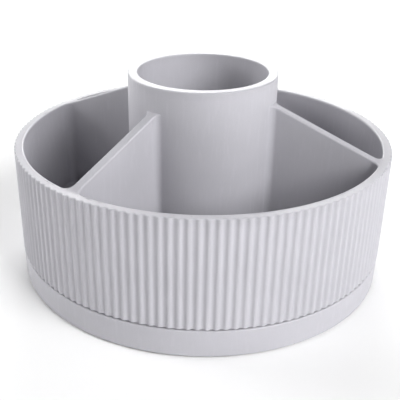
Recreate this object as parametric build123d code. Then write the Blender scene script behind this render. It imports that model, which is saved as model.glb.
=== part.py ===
from build123d import *
import math
import os

# Rotating desk organizer: a fluted round tray with a tall cup in the middle and four sloping
# dividers, which turns on a ball race inside a shallow base dish. Sizes are in millimetres.
# Z points up, and the origin is on the desk, on the axis that the tray turns about.

# Fluted wall and rim of the tray
crest_radius = 90.0
flute_count = 144
flute_depth = 0.7
rim_width = 4.4
wall_height = 50.8
rim_outer_chamfer = 0.3
opening_edge_round = 0.8

# Cup
cup_radius = 35.3
cup_wall = 4.6
cup_rise = 31.7
cup_floor_rise = 1.0
cup_edge_round = 0.6
cup_floor_round = 1.5

# Dividers: one wide bay at the front, and the other bays share the rest of the circle
divider_count = 4
divider_thickness = 4.5
divider_drop = 11.5
wide_bay_angle = 105.8
wide_bay_heading = -74.5
rim_corner_round = 4.0
cup_corner_round = 3.0
bay_floor_round = 2.5
slope_inset = 0.3
slope_blend = 10.0
cup_skin = 0.01

# Floor and underside of the tray
tray_floor = 2.8
wall_step = 0.7
lip_thickness = 2.5
lip_depth = 3.1
tray_seat_rise = 1.5
boss_radius = 8.0
tray_rib_count = 12
tray_rib_thickness = 1.6
tray_rib_depth = 1.2

# Base dish
seam_gap = 0.7
base_inset = 0.1
base_taper = 0.3
base_wall = 2.6
base_floor = 2.4
base_seat_rise = 1.2
base_edge_round = 0.6
lip_gap = 1.2
hub_wall = 1.8
base_rib_count = 12
base_rib_thickness = 1.8
base_rib_height = 1.0

# Ball race
ball_count = 16
ball_diameter = 6.0
ball_pitch_radius = 56.0
ball_gap = 0.02
groove_depth = 1.0
groove_clearance = 0.15
race_thickness = 2.0
screw_land_margin = 1.4
cage_rim = 1.35
cage_thickness = 2.0
cage_hole_gap = 0.15

# Screws that hold the races
race_screw_count = 4
race_screw_angle = 45.0
screw_radius = 1.45
screw_head_radius = 2.7
screw_head_height = 1.3
screw_skin = 0.7
screw_gap = 0.05
screw_hole_spare = 0.3
recess_width = 0.9
recess_depth = 0.9

# Pivot
shoulder_radius = 3.0
pivot_gap = 0.05
bush_wall = 1.95
bush_length = 5.0
bush_flange_radius = 7.5
bush_flange = 1.0
boss_gap = 0.15
head_recess_gap = 0.6
head_sink = 1.5
washer_radius = 6.8
washer_thickness = 0.8
washer_play = 0.1
pivot_head_radius = 5.8
pivot_head_height = 2.2
pivot_thread_radius = 2.0
thread_cover = 1.2
hex_across_flats = 5.0
hex_depth = 1.3

# Feet
foot_count = 6
foot_radius = 7.0
foot_margin = 7.0
foot_stand = 0.8
foot_sink = 1.2
foot_edge = 0.3
seat_gap = 0.05

# Overlap that joins two bodies of one moulding, and the least size that counts as one
weld = 0.5
touch = 0.001

# Heights, from the desk up
base_floor_top = foot_stand + base_floor
lower_race_z = base_floor_top + base_seat_rise
lower_race_top = lower_race_z + race_thickness
ball_radius = ball_diameter / 2
ball_z = lower_race_top - groove_depth + ball_gap + ball_radius
upper_race_z = ball_z + ball_radius + ball_gap - groove_depth
upper_race_top = upper_race_z + race_thickness
tray_floor_under = upper_race_top + tray_seat_rise
tray_floor_top = tray_floor_under + tray_floor
tray_bottom = tray_floor_under + wall_step
base_top = tray_bottom - seam_gap
rim_top = tray_bottom + wall_height
cup_top = rim_top + cup_rise
cup_floor_top = tray_floor_top + cup_floor_rise
divider_top = cup_top - divider_drop
pivot_head_low = foot_stand + head_sink
pivot_head_top = pivot_head_low + pivot_head_height
washer_top = pivot_head_top + washer_thickness
hub_under = washer_top + washer_play
hub_top = hub_under + bush_length
boss_under = hub_top + bush_flange + boss_gap
thread_hole_top = cup_floor_top - thread_cover
screw_hole_depth = base_floor + base_seat_rise - screw_skin
screw_length = race_thickness + screw_hole_depth - screw_hole_spare

# Radii
tray_bore_radius = crest_radius - rim_width
core_radius = crest_radius - flute_depth - rim_outer_chamfer - weld
cup_bore_radius = cup_radius - cup_wall
slope_start_radius = tray_bore_radius - slope_inset
slope_end_radius = cup_radius - cup_wall / 2
base_radius = crest_radius - base_inset
base_foot_radius = base_radius - base_taper
lip_radius = base_radius - base_wall - lip_gap
groove_radius = ball_radius + groove_clearance
groove_half_width = math.sqrt(groove_radius**2 - (groove_radius - groove_depth) ** 2)
race_land = 2 * (screw_head_radius + screw_land_margin)
race_inner_radius = ball_pitch_radius - groove_half_width - race_land
race_outer_radius = ball_pitch_radius + groove_half_width + race_land
lower_screw_radius = race_inner_radius + race_land / 2
upper_screw_radius = race_outer_radius - race_land / 2
cage_hole_radius = ball_radius + cage_hole_gap
bush_bore_radius = shoulder_radius + pivot_gap
bush_radius = bush_bore_radius + bush_wall
head_recess_radius = washer_radius + head_recess_gap
hub_radius = head_recess_radius + hub_wall
foot_pitch_radius = base_foot_radius - base_edge_round - foot_radius - foot_margin


def disc(radius, low, high):
    return Pos(0, 0, low) * extrude(Circle(radius), high - low)


def ring(inner, outer, low, high):
    return Pos(0, 0, low) * extrude(Circle(outer) - Circle(inner), high - low)


def turned(points):
    """A solid of revolution about Z from a closed outline of (radius, height) points."""
    return revolve(Plane.XZ * make_face(Polyline(*points, close=True)), Axis.Z)


def polar(radius, degrees):
    angle = math.radians(degrees)
    return (radius * math.cos(angle), radius * math.sin(angle))


def divider_angles():
    """Headings of the dividers, anticlockwise from the right side of the wide bay."""
    first = wide_bay_heading + wide_bay_angle / 2
    step = (360 - wide_bay_angle) / (divider_count - 1)
    return [first + i * step for i in range(divider_count)]


def spoke(inner, outer, thickness, low, high):
    """A straight rib along +X from radius inner to radius outer."""
    bar = Box(outer - inner, thickness, high - low, align=(Align.MIN, Align.CENTER, Align.MIN))
    return Pos(inner, 0, low) * bar


def spokes(count, inner, outer, thickness, low, high):
    rib = spoke(inner, outer, thickness, low, high)
    return [Rot(0, 0, 360 * (i + 0.5) / count) * rib for i in range(count)]


def fluted_outline():
    """Tangent arcs, one crest and one valley to a flute, all of one radius."""
    valley_radius = crest_radius - flute_depth
    half_step = 180 / flute_count
    k = math.cos(math.radians(half_step))
    square = crest_radius**2 + valley_radius**2 - 2 * k * crest_radius * valley_radius
    slope = flute_depth * (1 + k)
    # The radius at which a crest's circle and its neighbour valley's circle just touch
    arc = square / (slope + math.sqrt(slope**2 + 2 * (1 - k) * square))
    edges = []
    for i in range(flute_count):
        heading = 2 * i * half_step
        crest_centre = Vector(*polar(crest_radius - arc, heading))
        before = Vector(*polar(valley_radius + arc, heading - half_step))
        after = Vector(*polar(valley_radius + arc, heading + half_step))
        later = Vector(*polar(crest_radius - arc, heading + 2 * half_step))
        start = (before + crest_centre) / 2
        middle = (crest_centre + after) / 2
        end = (after + later) / 2
        edges.append(ThreePointArc(start, Vector(*polar(crest_radius, heading)), middle))
        edges.append(ThreePointArc(middle, Vector(*polar(valley_radius, heading + half_step)), end))
    return make_face(edges)


def fluted_wall():
    inner = core_radius - weld
    wall = extrude(fluted_outline() - Circle(inner), wall_height)
    top = wall.faces().sort_by(Axis.Z)[-1]
    wall = chamfer(top.outer_wire().edges(), rim_outer_chamfer)
    return Pos(0, 0, tray_bottom) * wall


def bay(start, end):
    """The pocket between the dividers at headings start and end, rounded at every corner."""
    half = (end - start) / 2
    apex = divider_thickness / 2 / math.sin(math.radians(half))
    reach = 2 * crest_radius
    middle = start + half
    corner = Vector(*polar(apex, middle))
    outline = Polyline(
        corner,
        corner + Vector(*polar(reach, start)),
        Vector(*polar(2 * reach, middle)),
        corner + Vector(*polar(reach, end)),
        close=True,
    )
    inner = cup_radius - cup_skin
    floor = (Circle(tray_bore_radius) - Circle(inner)) & make_face(outline)
    far = (tray_bore_radius + inner) / 2
    outer_corners = [v for v in floor.vertices() if math.hypot(v.X, v.Y) > far]
    floor = fillet(outer_corners, rim_corner_round)
    inner_corners = sorted(floor.vertices(), key=lambda v: math.hypot(v.X, v.Y))[:2]
    floor = fillet(inner_corners, cup_corner_round)
    pocket = extrude(floor, cup_top - tray_floor_top)
    pocket = fillet(pocket.faces().sort_by(Axis.Z)[0].edges(), bay_floor_round)
    return Pos(0, 0, tray_floor_top) * pocket


def divider_body():
    """Wall, floor and dividers under one top surface, which slopes from the cup to the rim."""
    rise = (divider_top - rim_top) / (slope_start_radius - cup_radius)
    inner_top = rim_top + rise * (slope_start_radius - slope_end_radius)
    outline = Polyline(
        (0, tray_bottom),
        (core_radius, tray_bottom),
        (core_radius, rim_top),
        (slope_start_radius, rim_top),
        (slope_end_radius, inner_top),
        (0, inner_top),
        close=True,
    )
    profile = make_face(outline)
    start = [v for v in profile.vertices() if abs(v.X - slope_start_radius) < touch]
    profile = fillet(start, slope_blend)
    body = revolve(Plane.XZ * profile, Axis.Z)
    headings = divider_angles()
    for i in range(divider_count):
        following = headings[(i + 1) % divider_count]
        if following < headings[i]:
            following += 360
        body -= bay(headings[i], following)
    lowest = rim_top - opening_edge_round
    edges = [e for e in body.edges() if e.bounding_box().min.Z > lowest and opens_a_bay(e)]
    return fillet(edges, opening_edge_round)


def opens_a_bay(edge):
    """True for an edge of the top surface inside the rim and outside the cup."""
    middle = edge @ 0.5
    radius = math.hypot(middle.X, middle.Y)
    return cup_radius - 2 * cup_skin < radius < tray_bore_radius + cup_skin


def tray():
    body = divider_body() + fluted_wall()
    body += disc(cup_radius, tray_bottom, cup_top)
    bore = disc(cup_bore_radius, cup_floor_top, cup_top + weld)
    bore = fillet(bore.edges().sort_by(Axis.Z)[0], cup_floor_round)
    body -= bore
    body = fillet(body.edges().filter_by(GeomType.CIRCLE).group_by(Axis.Z)[-1], cup_edge_round)
    body += disc(lip_radius, tray_floor_under, tray_bottom + weld)
    lip_low = tray_bottom - lip_depth
    body += ring(lip_radius - lip_thickness, lip_radius, lip_low, tray_bottom)
    seat = ring(race_inner_radius, race_outer_radius, upper_race_top, tray_floor_under + weld)
    body += seat
    body += disc(boss_radius, boss_under, tray_floor_under + weld)
    low = tray_floor_under - tray_rib_depth
    high = tray_floor_under + weld
    inner_end = boss_radius - weld
    outer_end = lip_radius - lip_thickness / 2
    seat_middle = ball_pitch_radius
    body += spokes(tray_rib_count, inner_end, seat_middle, tray_rib_thickness, low, high)
    body += spokes(tray_rib_count, seat_middle, outer_end, tray_rib_thickness, low, high)
    hole = disc(screw_radius + screw_gap, upper_race_top - weld, upper_race_top + screw_hole_depth)
    body -= around(hole, upper_screw_radius, race_screw_count, 0)
    return body - disc(pivot_thread_radius + screw_gap, boss_under - weld, thread_hole_top)


def around(shape, radius, count, start):
    """Copies of a shape on a circle, turned to face outwards."""
    return [Rot(0, 0, start + 360 * i / count) * Pos(radius, 0, 0) * shape for i in range(count)]


def base_dish():
    outline = Polyline(
        (0, foot_stand),
        (base_foot_radius, foot_stand),
        (base_radius, base_top),
        (base_radius - base_wall, base_top),
        (base_foot_radius - base_wall, base_floor_top),
        (0, base_floor_top),
        close=True,
    )
    profile = make_face(outline)
    limit = base_foot_radius - base_wall / 2
    outer = [v for v in profile.vertices() if v.X > limit]
    profile = fillet(outer, base_edge_round)
    body = revolve(Plane.XZ * profile, Axis.Z)
    floor_low = base_floor_top - weld
    body += ring(race_inner_radius, race_outer_radius, floor_low, lower_race_z)
    body += disc(hub_radius, floor_low, hub_top)
    high = base_floor_top + base_rib_height
    inner_end = hub_radius - weld
    outer_end = base_foot_radius - base_wall / 2
    body += spokes(base_rib_count, inner_end, outer_end, base_rib_thickness, floor_low, high)
    body -= disc(head_recess_radius, foot_stand - weld, hub_under)
    body -= disc(bush_radius + screw_gap, hub_under - weld, hub_top + weld)
    hole = disc(screw_radius + screw_gap, lower_race_z - screw_hole_depth, lower_race_z + weld)
    body -= around(hole, lower_screw_radius, race_screw_count, race_screw_angle)
    socket = disc(foot_radius + seat_gap, foot_stand - weld, foot_stand + foot_sink)
    body -= around(socket, foot_pitch_radius, foot_count, 0)
    return body


def race_screw():
    """A countersunk screw with its head up and its flat at height 0."""
    shank_top = -screw_head_height
    body = turned(
        [
            (0, 0),
            (screw_head_radius, 0),
            (screw_radius, shank_top),
            (screw_radius, -screw_length + screw_radius / 2),
            (screw_radius / 2, -screw_length),
            (0, -screw_length),
        ]
    )
    slot = Box(2 * screw_radius, recess_width, 2 * recess_depth)
    return body - slot - Rot(0, 0, 90) * slot


def race(low, groove_z, screw_holes):
    """A flat ring whose groove is centred on the height groove_z."""
    body = ring(race_inner_radius, race_outer_radius, low, low + race_thickness)
    body -= Pos(0, 0, groove_z) * Torus(ball_pitch_radius, groove_radius)
    return body - screw_holes


def countersink():
    """What a race loses to one screw: head, shank and their clearance."""
    clear = screw_radius + screw_gap
    head = screw_head_radius + screw_gap
    return turned(
        [
            (0, weld),
            (head, weld),
            (head, 0),
            (clear, -screw_head_height),
            (clear, -race_thickness - weld),
            (0, -race_thickness - weld),
        ]
    )


def race_lower():
    hole = Pos(0, 0, lower_race_top) * countersink()
    holes = around(hole, lower_screw_radius, race_screw_count, race_screw_angle)
    return race(lower_race_z, lower_race_top - groove_depth + groove_radius, holes)


def race_upper():
    hole = Pos(0, 0, upper_race_z) * Rot(180, 0, 0) * countersink()
    holes = around(hole, upper_screw_radius, race_screw_count, 0)
    return race(upper_race_z, upper_race_z + groove_depth - groove_radius, holes)


def race_lower_screws():
    screw = Pos(0, 0, lower_race_top) * race_screw()
    return Compound(around(screw, lower_screw_radius, race_screw_count, race_screw_angle))


def race_upper_screws():
    screw = Pos(0, 0, upper_race_z) * Rot(180, 0, 0) * race_screw()
    return Compound(around(screw, upper_screw_radius, race_screw_count, 0))


def ball_cage():
    half_width = cage_hole_radius + cage_rim
    inner = ball_pitch_radius - half_width
    outer = ball_pitch_radius + half_width
    low = ball_z - cage_thickness / 2
    body = ring(inner, outer, low, low + cage_thickness)
    hole = disc(cage_hole_radius, low - weld, low + cage_thickness + weld)
    return body - around(hole, ball_pitch_radius, ball_count, 0)


def ball(index):
    x, y = polar(ball_pitch_radius, 360 * index / ball_count)
    return Pos(x, y, ball_z) * Sphere(ball_radius)


def pivot_bush():
    body = disc(bush_radius, hub_under, hub_top + bush_flange)
    body += disc(bush_flange_radius, hub_top, hub_top + bush_flange)
    return body - disc(bush_bore_radius, hub_under - weld, hub_top + bush_flange + weld)


def pivot_screw():
    body = disc(pivot_head_radius, pivot_head_low, pivot_head_top)
    body += disc(shoulder_radius, pivot_head_top - weld, boss_under)
    body += disc(pivot_thread_radius, boss_under - weld, thread_hole_top - screw_hole_spare)
    key = RegularPolygon(hex_across_flats / 2, 6, major_radius=False)
    return body - Pos(0, 0, pivot_head_low) * extrude(key, hex_depth)


def thrust_washer():
    return ring(bush_bore_radius, washer_radius, pivot_head_top, washer_top)


def foot():
    body = disc(foot_radius, 0, foot_stand + foot_sink)
    return chamfer(body.edges().group_by(Axis.Z)[0], foot_edge)


def parts():
    made = {
        "tray": tray(),
        "base_dish": base_dish(),
        "race_lower": race_lower(),
        "race_upper": race_upper(),
        "race_lower_screws": race_lower_screws(),
        "race_upper_screws": race_upper_screws(),
        "ball_cage": ball_cage(),
        "pivot_bush": pivot_bush(),
        "pivot_screw": pivot_screw(),
        "thrust_washer": thrust_washer(),
    }
    for i in range(ball_count):
        made[f"ball_{i + 1:02d}"] = ball(i)
    pads = around(foot(), foot_pitch_radius, foot_count, 0)
    for i, pad in enumerate(pads):
        made[f"foot_{i + 1}"] = pad
    return made


os.makedirs("parts", exist_ok=True)
for node, shape in parts().items():
    shape.label = node
    export_step(shape, f"parts/{node}.step")
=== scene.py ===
import math

import bpy
from mathutils import Matrix, Vector


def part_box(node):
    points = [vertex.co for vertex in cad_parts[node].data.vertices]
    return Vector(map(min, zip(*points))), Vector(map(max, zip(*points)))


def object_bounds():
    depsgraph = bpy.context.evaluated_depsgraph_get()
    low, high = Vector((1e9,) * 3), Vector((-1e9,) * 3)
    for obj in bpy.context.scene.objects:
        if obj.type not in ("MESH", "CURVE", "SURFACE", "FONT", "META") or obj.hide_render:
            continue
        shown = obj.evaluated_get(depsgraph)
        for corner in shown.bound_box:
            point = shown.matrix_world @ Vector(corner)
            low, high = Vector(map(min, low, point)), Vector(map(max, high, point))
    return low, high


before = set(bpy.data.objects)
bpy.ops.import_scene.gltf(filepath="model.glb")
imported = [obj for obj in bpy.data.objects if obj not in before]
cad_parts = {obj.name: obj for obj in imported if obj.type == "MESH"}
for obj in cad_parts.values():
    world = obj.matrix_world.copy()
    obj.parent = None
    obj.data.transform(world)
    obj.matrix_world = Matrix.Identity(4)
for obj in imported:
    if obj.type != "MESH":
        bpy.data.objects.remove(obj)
cad_low, cad_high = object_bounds()

# Sizes, depths and distances are in metres, angles in degrees, and colours are linear.

# Camera at the photograph's viewpoint: lens and sensor in millimetres, shift in sensor widths
CAMERA_BACK = 0.3178
CAMERA_UP = 0.1863
CAMERA_PITCH = 26.33
CAMERA_YAW = -2.75
CAMERA_LENS = 62.10
CAMERA_SHIFT = 0.0743
SENSOR_WIDTH = 36.0

# Studio. The backdrop fades from white to dark between two sines of the angle above the horizon
FLOOR_RADIUS = 0.8
FLOOR_SIDES = 96
FLOOR_COLOUR = (0.86, 0.86, 0.86)
FLOOR_ROUGHNESS = 0.8
FLOOR_GLOSS = 0.1
BACKDROP_COLOUR = (1.0, 1.0, 1.0)
FADE_START = 0.09
FADE_END = 0.2
LIGHT_DISTANCE = 1.5
LARGE_LIGHT = 0.9
SMALL_LIGHT = 0.55

# Moulded plastic of the tray and base. The tones are shares of its colour
PLASTIC_COLOUR = (0.42, 0.414, 0.447)
PLASTIC_DARKEST = 0.96
PLASTIC_PALEST = 1.03
PLASTIC_GLOSS = 0.4
TONE_PATCH = 0.03
GRAIN_SIZE = 0.00028
GRAIN_DEPTH = 0.00005
PEEL_SIZE = 0.0015
PEEL_DEPTH = 0.00003

# Scuffs are drawn out by a factor along each axis, and show where their noise is above the start
SCUFF_SIZE = 0.0012
SCUFF_STRETCH = (1.0, 1.6, 9.0)
SCUFF_START = 0.55
SCUFF_FULL = 0.72

# Hands wear the tray's rim and the cup's mouth smoother, in a band above and below each one's height, and
# the same band is darkened as painted shade on these brightly lit tops. The rim's band reaches in from
# the outside, and its height is that of the highest point past a share of the radius
LIP_HALF_HEIGHT = 0.004
LIP_BLEND = 0.001
RIM_REACH = 0.0055
RIM_SHARE = 0.98

# Zinc plate on the races
RACE_DULL = (0.46, 0.47, 0.50)
RACE_BRIGHT = (0.58, 0.58, 0.57)
RACE_CLOUD = 0.006
RACE_CRYSTAL = 0.0006
RACE_CRYSTAL_DEPTH = 0.000006
TURNED_LINE = 0.0003
TURNED_DEPTH = 0.000006
TRACK_HALF_WIDTH = 0.0012

# Zinc plate on the screws and washer
SCREW_DULL = (0.50, 0.50, 0.51)
SCREW_BRIGHT = (0.64, 0.64, 0.63)
SCREW_CLOUD = 0.003
SCREW_CRYSTAL = 0.0005
SCREW_CRYSTAL_DEPTH = 0.00001

# Polished balls
OILY_STEEL = (0.60, 0.60, 0.62)
CLEAN_STEEL = (0.72, 0.72, 0.72)
OIL_SMEAR = 0.0015
LAPPING_MARK = 0.0002
LAPPING_DEPTH = 0.000001

# Nylon cage and acetal bush. The tones are shares of their colours
CAGE_COLOUR = (0.66, 0.65, 0.60)
CAGE_ROUGHNESS = 0.45
BUSH_COLOUR = (0.74, 0.74, 0.72)
BUSH_ROUGHNESS = 0.32
NYLON_DARKEST = 0.95
NYLON_PALEST = 1.03
NYLON_CLOUD = 0.008
NYLON_GRAIN = 0.0003
NYLON_GRAIN_DEPTH = 0.000012

# Rubber feet
RUBBER_COLOUR = (0.018, 0.018, 0.02)
DUST_COLOUR = (0.085, 0.082, 0.08)
DUST_PATCH = 0.002
DUST_START = 0.45
DUST_FULL = 0.8
RUBBED_HEIGHT = 0.0003
RUBBER_GRAIN = 0.0004
RUBBER_GRAIN_DEPTH = 0.00003

# Most values of Blender's noise texture are in this range
NOISE_LOW = 0.3
NOISE_HIGH = 0.7

# Rings of Blender's wave texture are this far apart at scale 1
WAVE_PERIOD = math.pi / 10

# The Mix node's colour sockets share their names with others, so they go by number
MIX_FIRST = 6
MIX_SECOND = 7
MIX_RESULT = 2


def feed(tree, socket, value):
    """Gives a socket a plain value, or links another node's output to it."""
    if isinstance(value, bpy.types.NodeSocket):
        tree.links.new(value, socket)
    else:
        socket.default_value = value


def new_node(tree, kind, inputs=None, **settings):
    """A node; inputs maps a socket's name or number to a plain value or another node's output."""
    node = tree.nodes.new(kind)
    for name, value in settings.items():
        setattr(node, name, value)
    for socket, value in (inputs or {}).items():
        feed(tree, node.inputs[socket], value)
    return node


def shade(colour, factor):
    return tuple(min(1.0, channel * factor) for channel in colour)


class Recipe:
    """A node material under construction. Its textures are placed by the object's own coordinates."""

    def __init__(self, name, metallic=0.0, gloss=0.5):
        self.material = bpy.data.materials.new(name)
        self.material.use_nodes = True
        self.tree = self.material.node_tree
        self.place = self.add("ShaderNodeTexCoord").outputs["Object"]
        self.shader = self.tree.nodes["Principled BSDF"]
        self.shader.inputs["Metallic"].default_value = metallic
        self.shader.inputs["Specular IOR Level"].default_value = gloss

    def add(self, kind, inputs=None, **settings):
        return new_node(self.tree, kind, inputs, **settings)

    def compute(self, operation, a, b=0.0):
        return self.add("ShaderNodeMath", {0: a, 1: b}, operation=operation).outputs[0]

    def noise(self, size, detail=2.0, place=None):
        """Cloudy values about 0.5, in blobs of about size metres."""
        inputs = {"Vector": place or self.place, "Scale": 1 / size, "Detail": detail}
        return self.add("ShaderNodeTexNoise", inputs).outputs[0]

    def stretched(self, x, y, z):
        """The object's coordinates, shrunk along each axis so that a pattern there grows longer."""
        inputs = {"Vector": self.place, "Scale": (1 / x, 1 / y, 1 / z)}
        return self.add("ShaderNodeMapping", inputs).outputs[0]

    def height(self):
        return self.add("ShaderNodeSeparateXYZ", {0: self.place}).outputs["Z"]

    def radius(self):
        """Distance from the turning axis."""
        flat = self.add("ShaderNodeVectorMath", {0: self.place, 1: (1, 1, 0)}, operation="MULTIPLY")
        return self.add("ShaderNodeVectorMath", {0: flat.outputs[0]}, operation="LENGTH").outputs["Value"]

    def spread(self, value, low=0.0, high=1.0, start=NOISE_LOW, end=NOISE_HIGH):
        """A value's range from start to end, turned into the range from low to high."""
        inputs = {"Value": value, "From Min": start, "From Max": end, "To Min": low, "To Max": high}
        return self.add("ShaderNodeMapRange", inputs).outputs[0]

    def band(self, value, middle, half_width):
        """1 where the value is at the middle of a band, falling to 0 at its edges."""
        away = self.compute("ABSOLUTE", self.compute("SUBTRACT", value, middle))
        return self.spread(away, low=1.0, high=0.0, start=0.0, end=half_width)

    def vary(self, value, noise, by):
        """The value, raised by as much as by where the noise is high and lowered where it is low."""
        return self.compute("ADD", value, self.spread(noise, low=-by, high=by))

    def shift(self, value, mask, by):
        """The value, changed by the whole of by where the mask is 1."""
        return self.compute("ADD", value, self.compute("MULTIPLY", mask, by))

    def tint(self, factor, first, second):
        """The first colour where the factor is 0 or less, and the second where it is 1 or more."""
        inputs = {"Factor": factor, MIX_FIRST: (*first, 1), MIX_SECOND: (*second, 1)}
        return self.add("ShaderNodeMix", inputs, data_type="RGBA").outputs[MIX_RESULT]

    def relief(self, height, depth, below=None):
        """A bump that rises by depth metres as height goes from 0 to 1, on top of the one below."""
        inputs = {"Height": height, "Distance": depth}
        if below:
            inputs["Normal"] = below
        return self.add("ShaderNodeBump", inputs).outputs[0]

    def finish(self, colour, roughness, normal):
        feed(self.tree, self.shader.inputs["Base Color"], colour)
        feed(self.tree, self.shader.inputs["Roughness"], roughness)
        feed(self.tree, self.shader.inputs["Normal"], normal)
        return self.material


def plastic_material(name, lips=()):
    """Matt moulded plastic: fine grain, faint orange peel, scuffs, and lips smoothed by handling and
    darkened as painted shade.

    Each lip is its height and the radius where its wear and painted shade start."""
    recipe = Recipe(name, gloss=PLASTIC_GLOSS)
    tone = recipe.noise(TONE_PATCH, detail=3.0)
    peel = recipe.noise(PEEL_SIZE, detail=1.0)
    grain = recipe.noise(GRAIN_SIZE)
    streaks = recipe.noise(SCUFF_SIZE, detail=4.0, place=recipe.stretched(*SCUFF_STRETCH))
    scuffs = recipe.spread(streaks, start=SCUFF_START, end=SCUFF_FULL)

    roughness = recipe.spread(tone, low=0.44, high=0.56)
    roughness = recipe.vary(roughness, grain, by=0.07)
    roughness = recipe.shift(roughness, scuffs, by=-0.14)
    paleness = recipe.spread(tone)
    paleness = recipe.vary(paleness, grain, by=0.4)
    paleness = recipe.shift(paleness, scuffs, by=0.7)

    for height, inner_radius in lips:
        wear_and_painted_shade = recipe.band(recipe.height(), height, LIP_HALF_HEIGHT)
        outside = recipe.spread(recipe.radius(), start=inner_radius - LIP_BLEND, end=inner_radius)
        wear_and_painted_shade = recipe.compute("MULTIPLY", wear_and_painted_shade, outside)
        wear_and_painted_shade = recipe.compute("MULTIPLY", wear_and_painted_shade, recipe.spread(peel, low=0.7))
        # The band is smoother from wear and darker as painted shade that tones down the brightly lit rim
        # and mouth
        roughness = recipe.shift(roughness, wear_and_painted_shade, by=-0.1)
        paleness = recipe.shift(paleness, wear_and_painted_shade, by=-1.3)

    dark = shade(PLASTIC_COLOUR, PLASTIC_DARKEST)
    pale = shade(PLASTIC_COLOUR, PLASTIC_PALEST)
    colour = recipe.tint(paleness, dark, pale)
    normal = recipe.relief(peel, PEEL_DEPTH)
    normal = recipe.relief(grain, GRAIN_DEPTH, below=normal)
    return recipe.finish(colour, roughness, normal)


def race_material(track_radius):
    """Zinc plate over turned rings, with the smoother track that the balls wear."""
    recipe = Recipe("race_zinc", metallic=1.0)
    rings = {"Vector": recipe.place, "Scale": WAVE_PERIOD / TURNED_LINE, "Distortion": 1.5, "Detail": 2.0}
    wave = recipe.add("ShaderNodeTexWave", rings, wave_type="RINGS", rings_direction="Z")
    lines = wave.outputs["Fac"]
    cloud = recipe.noise(RACE_CLOUD, detail=3.0)
    crystals = recipe.noise(RACE_CRYSTAL)
    track = recipe.band(recipe.radius(), track_radius, TRACK_HALF_WIDTH)

    roughness = recipe.spread(lines, low=0.30, high=0.42, start=0.0, end=1.0)
    roughness = recipe.vary(roughness, crystals, by=0.05)
    roughness = recipe.shift(roughness, track, by=-0.2)
    colour = recipe.tint(recipe.spread(cloud), RACE_DULL, RACE_BRIGHT)
    normal = recipe.relief(lines, TURNED_DEPTH)
    normal = recipe.relief(crystals, RACE_CRYSTAL_DEPTH, below=normal)
    return recipe.finish(colour, roughness, normal)


def screw_material():
    """Zinc-plated screws and washer: small crystals, dulled in patches."""
    recipe = Recipe("screw_zinc", metallic=1.0)
    crystals = recipe.noise(SCREW_CRYSTAL, detail=3.0)
    cloud = recipe.noise(SCREW_CLOUD)
    roughness = recipe.spread(cloud, low=0.24, high=0.38)
    roughness = recipe.vary(roughness, crystals, by=0.06)
    colour = recipe.tint(recipe.spread(cloud), SCREW_DULL, SCREW_BRIGHT)
    return recipe.finish(colour, roughness, recipe.relief(crystals, SCREW_CRYSTAL_DEPTH))


def ball_material():
    """Polished bearing steel with a thin film of oil smears."""
    recipe = Recipe("polished_steel", metallic=1.0)
    smear = recipe.noise(OIL_SMEAR, detail=3.0)
    lapping = recipe.noise(LAPPING_MARK)
    roughness = recipe.spread(smear, low=0.06, high=0.16)
    colour = recipe.tint(recipe.spread(smear), OILY_STEEL, CLEAN_STEEL)
    return recipe.finish(colour, roughness, recipe.relief(lapping, LAPPING_DEPTH))


def nylon_material(name, colour, middle_roughness):
    """Uncoloured nylon or acetal: slightly cloudy, with a fine moulded grain."""
    recipe = Recipe(name)
    cloud = recipe.noise(NYLON_CLOUD)
    grain = recipe.noise(NYLON_GRAIN)
    roughness = recipe.vary(middle_roughness, cloud, by=0.05)
    roughness = recipe.vary(roughness, grain, by=0.03)
    colour = recipe.tint(recipe.spread(cloud), shade(colour, NYLON_DARKEST), shade(colour, NYLON_PALEST))
    return recipe.finish(colour, roughness, recipe.relief(grain, NYLON_GRAIN_DEPTH))


def rubber_material():
    """Black rubber pads: grained, dusty, and rubbed pale where they stand."""
    recipe = Recipe("grained_rubber")
    grain = recipe.noise(RUBBER_GRAIN, detail=3.0)
    dust = recipe.spread(recipe.noise(DUST_PATCH, detail=4.0), high=0.6, start=DUST_START, end=DUST_FULL)
    rubbed = recipe.spread(recipe.height(), low=0.4, high=0.0, start=0.0, end=RUBBED_HEIGHT)
    roughness = recipe.spread(grain, low=0.62, high=0.82)
    colour = recipe.tint(recipe.compute("MAXIMUM", dust, rubbed), RUBBER_COLOUR, DUST_COLOUR)
    return recipe.finish(colour, roughness, recipe.relief(grain, RUBBER_GRAIN_DEPTH))


def floor_material():
    recipe = Recipe("studio_floor", gloss=FLOOR_GLOSS)
    recipe.shader.inputs["Base Color"].default_value = (*FLOOR_COLOUR, 1)
    recipe.shader.inputs["Roughness"].default_value = FLOOR_ROUGHNESS
    return recipe.material


def dress(material, *nodes):
    for node in nodes:
        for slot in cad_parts[node].material_slots:
            slot.material = material


def numbered(prefix):
    """Nodes named by the prefix and a number, so the balls without their cage."""
    return [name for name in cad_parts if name.removeprefix(prefix).isdigit()]


def tray_lips():
    """Heights of the tray's rim and of the cup's mouth, each with the radius where its wear and painted
    shade start.
    """
    points = [vertex.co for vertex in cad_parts["tray"].data.vertices]
    reach = max(math.hypot(point.x, point.y) for point in points)
    rim = max(point.z for point in points if math.hypot(point.x, point.y) > RIM_SHARE * reach)
    mouth = max(point.z for point in points)
    return [(rim, reach - RIM_REACH), (mouth, 0.0)]


def ball_track_radius():
    low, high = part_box("ball_01")
    middle = (low + high) / 2
    return math.hypot(middle.x, middle.y)


def dress_everything():
    dress(plastic_material("moulded_tray", tray_lips()), "tray")
    dress(plastic_material("moulded_base"), "base_dish")
    dress(race_material(ball_track_radius()), "race_lower", "race_upper")
    dress(screw_material(), "race_lower_screws", "race_upper_screws", "pivot_screw", "thrust_washer")
    dress(ball_material(), *numbered("ball_"))
    dress(nylon_material("cage_nylon", CAGE_COLOUR, CAGE_ROUGHNESS), "ball_cage")
    dress(nylon_material("bush_acetal", BUSH_COLOUR, BUSH_ROUGHNESS), "pivot_bush")
    dress(rubber_material(), *numbered("foot_"))


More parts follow.
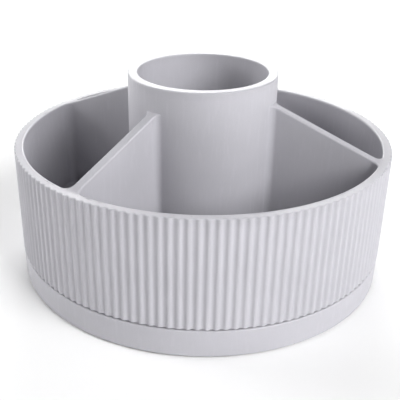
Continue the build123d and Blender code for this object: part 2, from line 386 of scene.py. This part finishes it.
def add_camera():
    data = bpy.data.cameras.new("camera")
    data.lens = CAMERA_LENS
    data.sensor_width = SENSOR_WIDTH
    data.shift_x = CAMERA_SHIFT
    camera = bpy.data.objects.new("camera", data)
    bpy.context.scene.collection.objects.link(camera)
    turn = Matrix.Rotation(math.radians(-CAMERA_YAW), 4, "Z")
    tilt = Matrix.Rotation(math.radians(90 - CAMERA_PITCH), 4, "X")
    camera.matrix_world = Matrix.Translation((0, -CAMERA_BACK, CAMERA_UP)) @ turn @ tilt
    bpy.context.scene.camera = camera


def add_area_light(name, azimuth, elevation, size, watts):
    """A square soft light aimed at the middle of the part. Azimuth 0 is behind the camera, 90 is +X."""
    data = bpy.data.lights.new(name, "AREA")
    data.shape = "SQUARE"
    data.size = size
    data.energy = watts
    light = bpy.data.objects.new(name, data)
    bpy.context.scene.collection.objects.link(light)
    turn = math.radians(azimuth)
    rise = math.radians(elevation)
    away = Vector((math.sin(turn) * math.cos(rise), -math.cos(turn) * math.cos(rise), math.sin(rise)))
    light.location = (cad_low + cad_high) / 2 + away * LIGHT_DISTANCE
    light.rotation_mode = "QUATERNION"
    light.rotation_quaternion = away.to_track_quat("Z", "Y")


def add_lights():
    add_area_light("key", azimuth=50, elevation=33, size=LARGE_LIGHT, watts=24.5)
    add_area_light("front_low", azimuth=35, elevation=22, size=SMALL_LIGHT, watts=3.5)
    add_area_light("right", azimuth=90, elevation=35, size=LARGE_LIGHT, watts=2.5)
    add_area_light("back", azimuth=180, elevation=27, size=LARGE_LIGHT, watts=17.0)
    add_area_light("back_left", azimuth=225, elevation=12, size=LARGE_LIGHT, watts=7.5)
    add_area_light("left", azimuth=255, elevation=22, size=SMALL_LIGHT, watts=11.5)
    add_area_light("front_left", azimuth=315, elevation=35, size=LARGE_LIGHT, watts=4.5)


def add_world():
    """White at and below the horizon and dark overhead, so that it adds little light to the part."""
    world = bpy.data.worlds.new("studio")
    bpy.context.scene.world = world
    world.use_nodes = True
    tree = world.node_tree
    direction = new_node(tree, "ShaderNodeTexCoord").outputs["Generated"]
    height = new_node(tree, "ShaderNodeSeparateXYZ", {0: direction}).outputs["Z"]
    fade = {"Value": height, "From Min": FADE_START, "From Max": FADE_END, "To Min": 1.0, "To Max": 0.0}
    strength = new_node(tree, "ShaderNodeMapRange", fade).outputs[0]
    background = tree.nodes["Background"]
    feed(tree, background.inputs["Strength"], strength)
    feed(tree, background.inputs["Color"], (*BACKDROP_COLOUR, 1))


def add_floor():
    mesh = bpy.data.meshes.new("floor")
    turns = [2 * math.pi * side / FLOOR_SIDES for side in range(FLOOR_SIDES)]
    rim = [(FLOOR_RADIUS * math.cos(turn), FLOOR_RADIUS * math.sin(turn), 0) for turn in turns]
    mesh.from_pydata(rim, [], [range(FLOOR_SIDES)])
    floor = bpy.data.objects.new("floor", mesh)
    bpy.context.scene.collection.objects.link(floor)
    mesh.materials.append(floor_material())


add_camera()
add_world()
add_floor()
add_lights()
dress_everything()

scene = bpy.context.scene
scene.view_settings.view_transform = "Standard"
scene.view_settings.look = "None"
